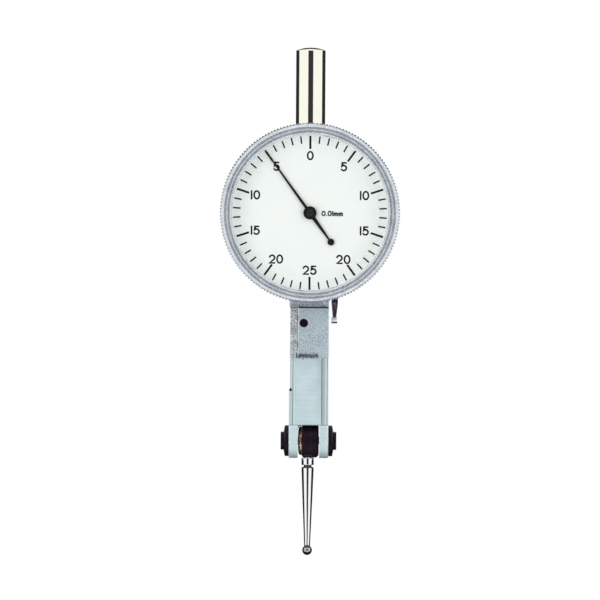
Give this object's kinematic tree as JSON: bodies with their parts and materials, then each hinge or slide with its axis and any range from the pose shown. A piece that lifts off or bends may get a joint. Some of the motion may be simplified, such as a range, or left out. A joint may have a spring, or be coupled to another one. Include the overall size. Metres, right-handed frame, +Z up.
{
  "type": "dial test indicator",
  "caption": "Lever-type dial indicator with a stem, a round dial with a turning bezel, a slim arm and a swivelling ball-ended stylus.",
  "frame": {"origin": "on the stem's axis, halfway along its bare cylinder", "axes": "+Z up along the stem, away from the dial; the dial faces -Y; +X to the right as the dial is read"},
  "size_m": [0.0368, 0.0167, 0.1039],
  "materials": {
    "satin_chrome": "satin",
    "polished_chrome": "mirror",
    "black_metal": "black oxide",
    "bronze": "bare bronze",
    "brass": "bare brass",
    "steel": "turned",
    "spring_steel": "blued",
    "crystal": "clear",
    "pale_plastic": "satin",
    "dial_white": "matt print",
    "ruby": "polished"
  },
  "bodies": {
    "frame": {"stem": "polished_chrome", "case_body": "satin_chrome", "back_cover": "satin_chrome", "back_cover_screws": "steel", "movement_plate": "brass", "movement_plate_screws": "steel", "spindle_jewels": "ruby", "axle_bracket": "brass", "axle_bracket_screws": "steel", "axle_jewels": "ruby", "hairspring_stud": "brass", "arm_housing": "satin_chrome", "arm_screw": "black_metal", "side_cover": "satin_chrome", "side_cover_screws": "steel", "stop_pins": "steel", "bearing_screws": "black_metal", "lock_nuts": "black_metal"},
    "dial_ring": {"bezel": "satin_chrome", "bezel_spring_ring": "spring_steel", "crystal": "crystal", "spacer_ring": "pale_plastic", "dial": "dial_white"},
    "hand": {"pointer": "black_metal", "pointer_hub": "black_metal", "centre_spindle": "steel"},
    "crown": {"crown_axle": "steel", "crown_wheel": "brass", "hairspring_collet": "brass", "hairspring": "spring_steel"},
    "lever": {"measuring_lever": "black_metal", "sector_gear": "brass", "sector_rivets": "steel", "spring_stud": "steel", "lever_axle": "steel", "friction_washer": "bronze"},
    "stylus_arm": {"stylus_holder": "black_metal", "stylus_collar": "polished_chrome", "stylus": "polished_chrome", "contact_ball": "polished_chrome"},
    "changeover": {"reversing_lever": "satin_chrome", "reversing_shaft": "steel", "reversing_spring": "spring_steel"}
  },
  "joints": [
    {"name": "bezel_turn", "type": "hinge", "parent": "frame", "child": "dial_ring", "pos_m": [0, 0, -0.0247], "axis": [0, 1, 0], "continuous": true},
    {"name": "pointer_turn", "type": "hinge", "parent": "frame", "child": "hand", "pos_m": [0, 0, -0.0247], "axis": [0, 1, 0], "range_deg": [0, 432]},
    {"name": "crown_turn", "type": "hinge", "parent": "frame", "child": "crown", "pos_m": [0, 0, -0.0247], "axis": [1, 0, 0], "range_deg": [-64, 0], "deforming": ["hairspring"]},
    {"name": "lever_tilt", "type": "hinge", "parent": "frame", "child": "lever", "pos_m": [0, 0, -0.0713], "axis": [1, 0, 0], "range_deg": [0, 1.54], "stiffness_Nm_per_rad": 0.05, "springref_deg": -6.88},
    {"name": "stylus_swivel", "type": "hinge", "parent": "lever", "child": "stylus_arm", "pos_m": [0, 0, -0.0713], "axis": [1, 0, 0], "range_deg": [-110, 110]},
    {"name": "changeover_turn", "type": "hinge", "parent": "frame", "child": "changeover", "pos_m": [0, 0, -0.0417], "axis": [1, 0, 0], "range_deg": [-30, 0], "deforming": ["reversing_spring"]}
  ],
  "couplings": [
    {"joint": "crown_turn", "follows": "pointer_turn", "ratio": -0.14706},
    {"joint": "lever_tilt", "follows": "pointer_turn", "ratio": 0.0035558}
  ]
}
